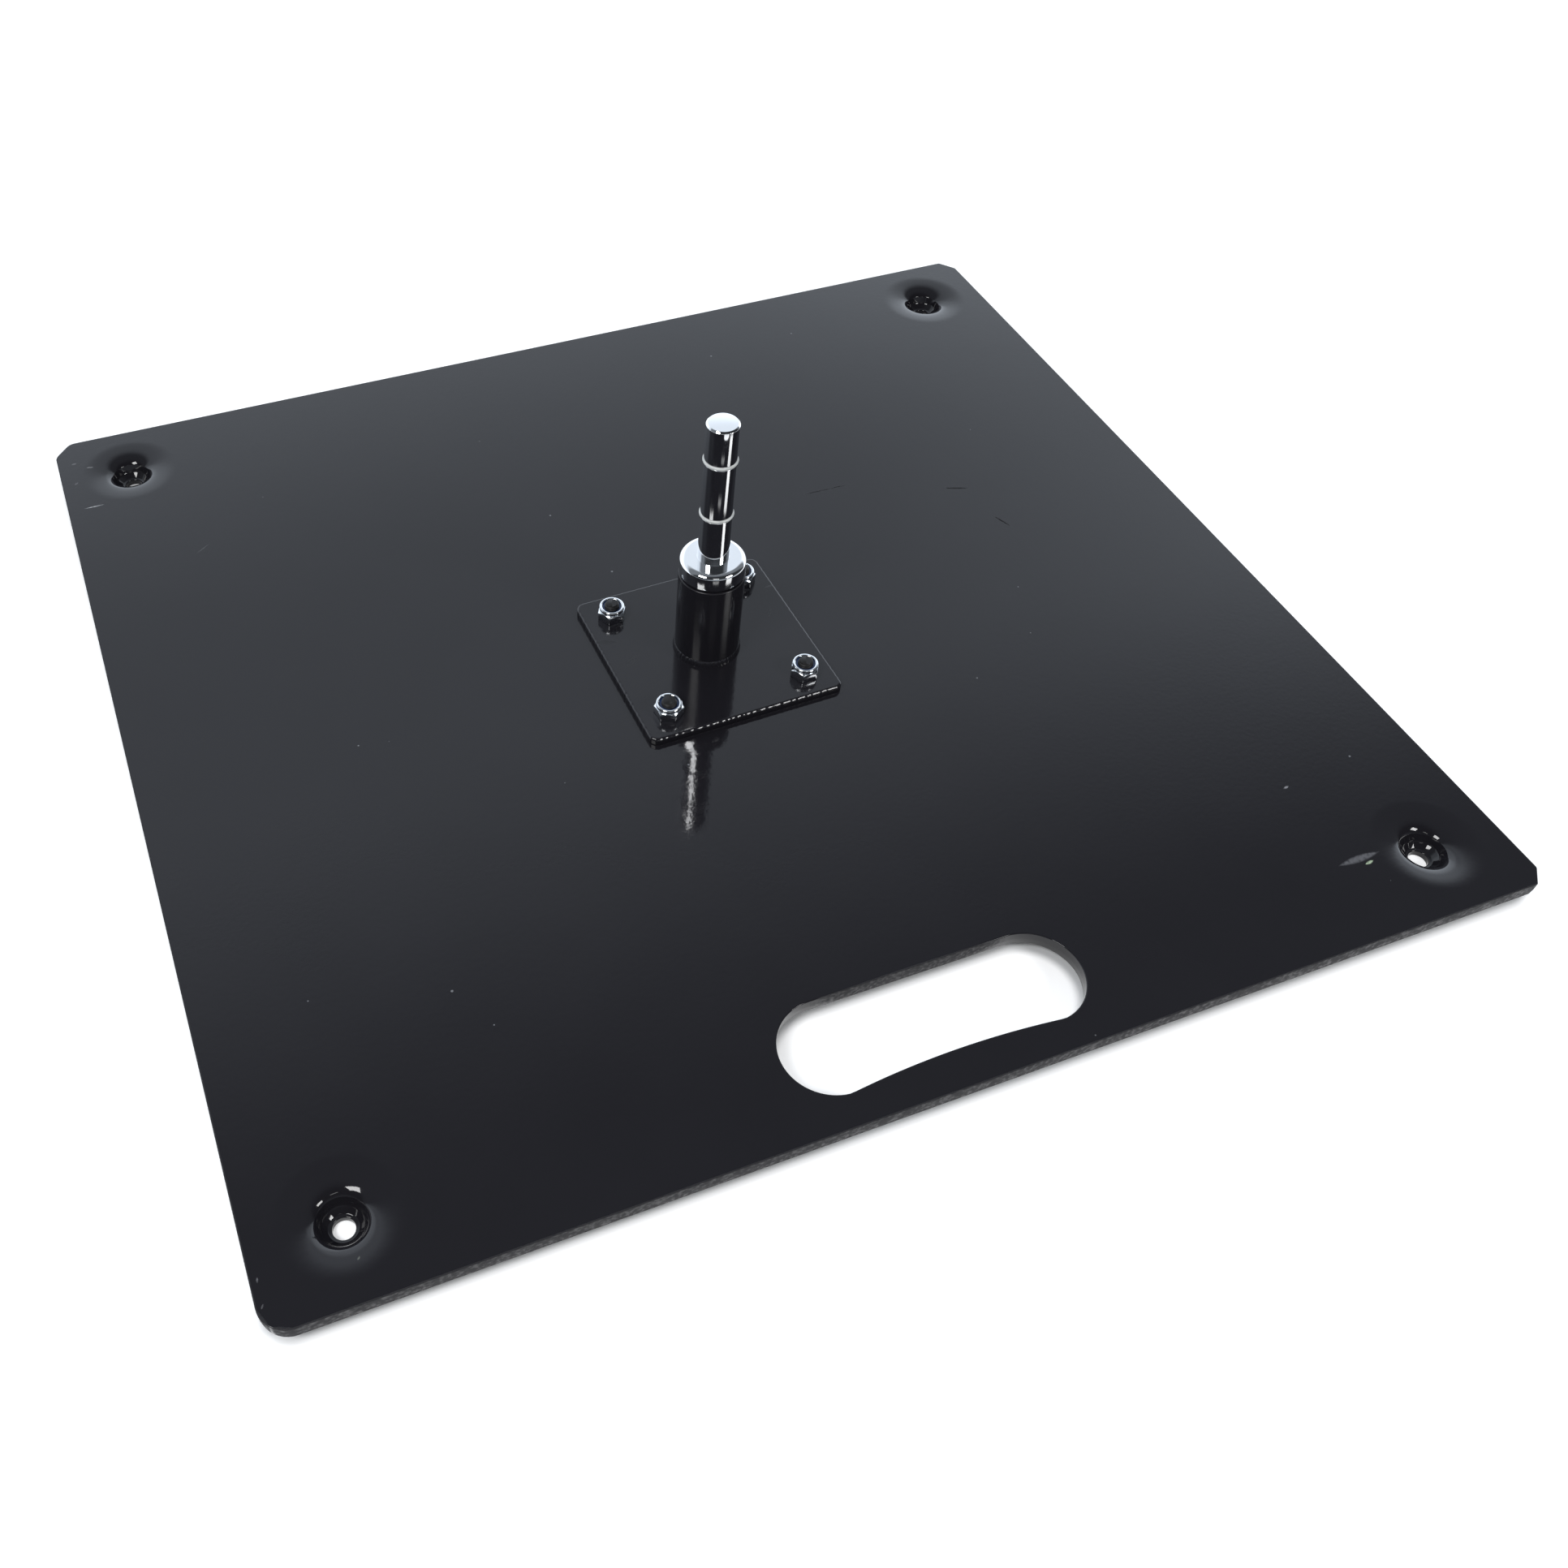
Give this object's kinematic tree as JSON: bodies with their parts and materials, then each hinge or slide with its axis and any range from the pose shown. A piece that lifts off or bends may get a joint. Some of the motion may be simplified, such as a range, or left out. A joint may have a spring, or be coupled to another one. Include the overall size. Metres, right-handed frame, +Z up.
{
  "type": "flag base plate",
  "caption": "Steel base plate with pressed feet, a hand slot and a chromed spigot that turns on ball bearings, for carrying a flagpole.",
  "frame": {"origin": "on the floor, under the middle of the base plate", "axes": "+X to the right along the front edge, +Y to the back, +Z up along the spigot"},
  "size_m": [0.45, 0.425, 0.1163],
  "materials": {
    "black_paint": "black gloss powder coat",
    "chrome": "polished chrome",
    "zinc": "bright zinc plate",
    "black_bolt": "black oxide",
    "blue_nylon": "blue nylon",
    "pale_rubber": "pale rubber",
    "bearing_steel": "ground steel",
    "cage_nylon": "natural nylon"
  },
  "bodies": {
    "base": {"base_plate": "black_paint", "mounting_plate": "black_paint", "bearing_tube": "black_paint", "weld_bead": "black_paint", "mount_bolts": "black_bolt", "lock_nuts": "zinc", "nut_inserts": "blue_nylon", "lower_outer_race": "bearing_steel", "lower_shields": "bearing_steel", "upper_outer_race": "bearing_steel", "upper_shields": "bearing_steel", "outer_spacer": "bearing_steel", "tube_retaining_ring": "bearing_steel"},
    "turning_spigot": {"spindle": "chrome", "lower_grip_ring": "pale_rubber", "upper_grip_ring": "pale_rubber", "lower_inner_race": "bearing_steel", "upper_inner_race": "bearing_steel", "inner_spacer": "bearing_steel", "shaft_retaining_ring": "bearing_steel"},
    "lower_ball_train": {"lower_balls": "bearing_steel", "lower_cage": "cage_nylon"},
    "upper_ball_train": {"upper_balls": "bearing_steel", "upper_cage": "cage_nylon"}
  },
  "joints": [
    {"name": "spindle_spin", "type": "hinge", "parent": "base", "child": "turning_spigot", "pos_m": [-0.004, -0.006, 0.0315], "axis": [0, 0, 1], "continuous": true},
    {"name": "lower_ball_spin", "type": "hinge", "parent": "base", "child": "lower_ball_train", "pos_m": [-0.004, -0.006, 0.017], "axis": [0, 0, 1], "continuous": true},
    {"name": "upper_ball_spin", "type": "hinge", "parent": "base", "child": "upper_ball_train", "pos_m": [-0.004, -0.006, 0.04475], "axis": [0, 0, 1], "continuous": true}
  ],
  "couplings": [
    {"joint": "lower_ball_spin", "follows": "spindle_spin", "ratio": 0.37},
    {"joint": "upper_ball_spin", "follows": "spindle_spin", "ratio": 0.37}
  ]
}
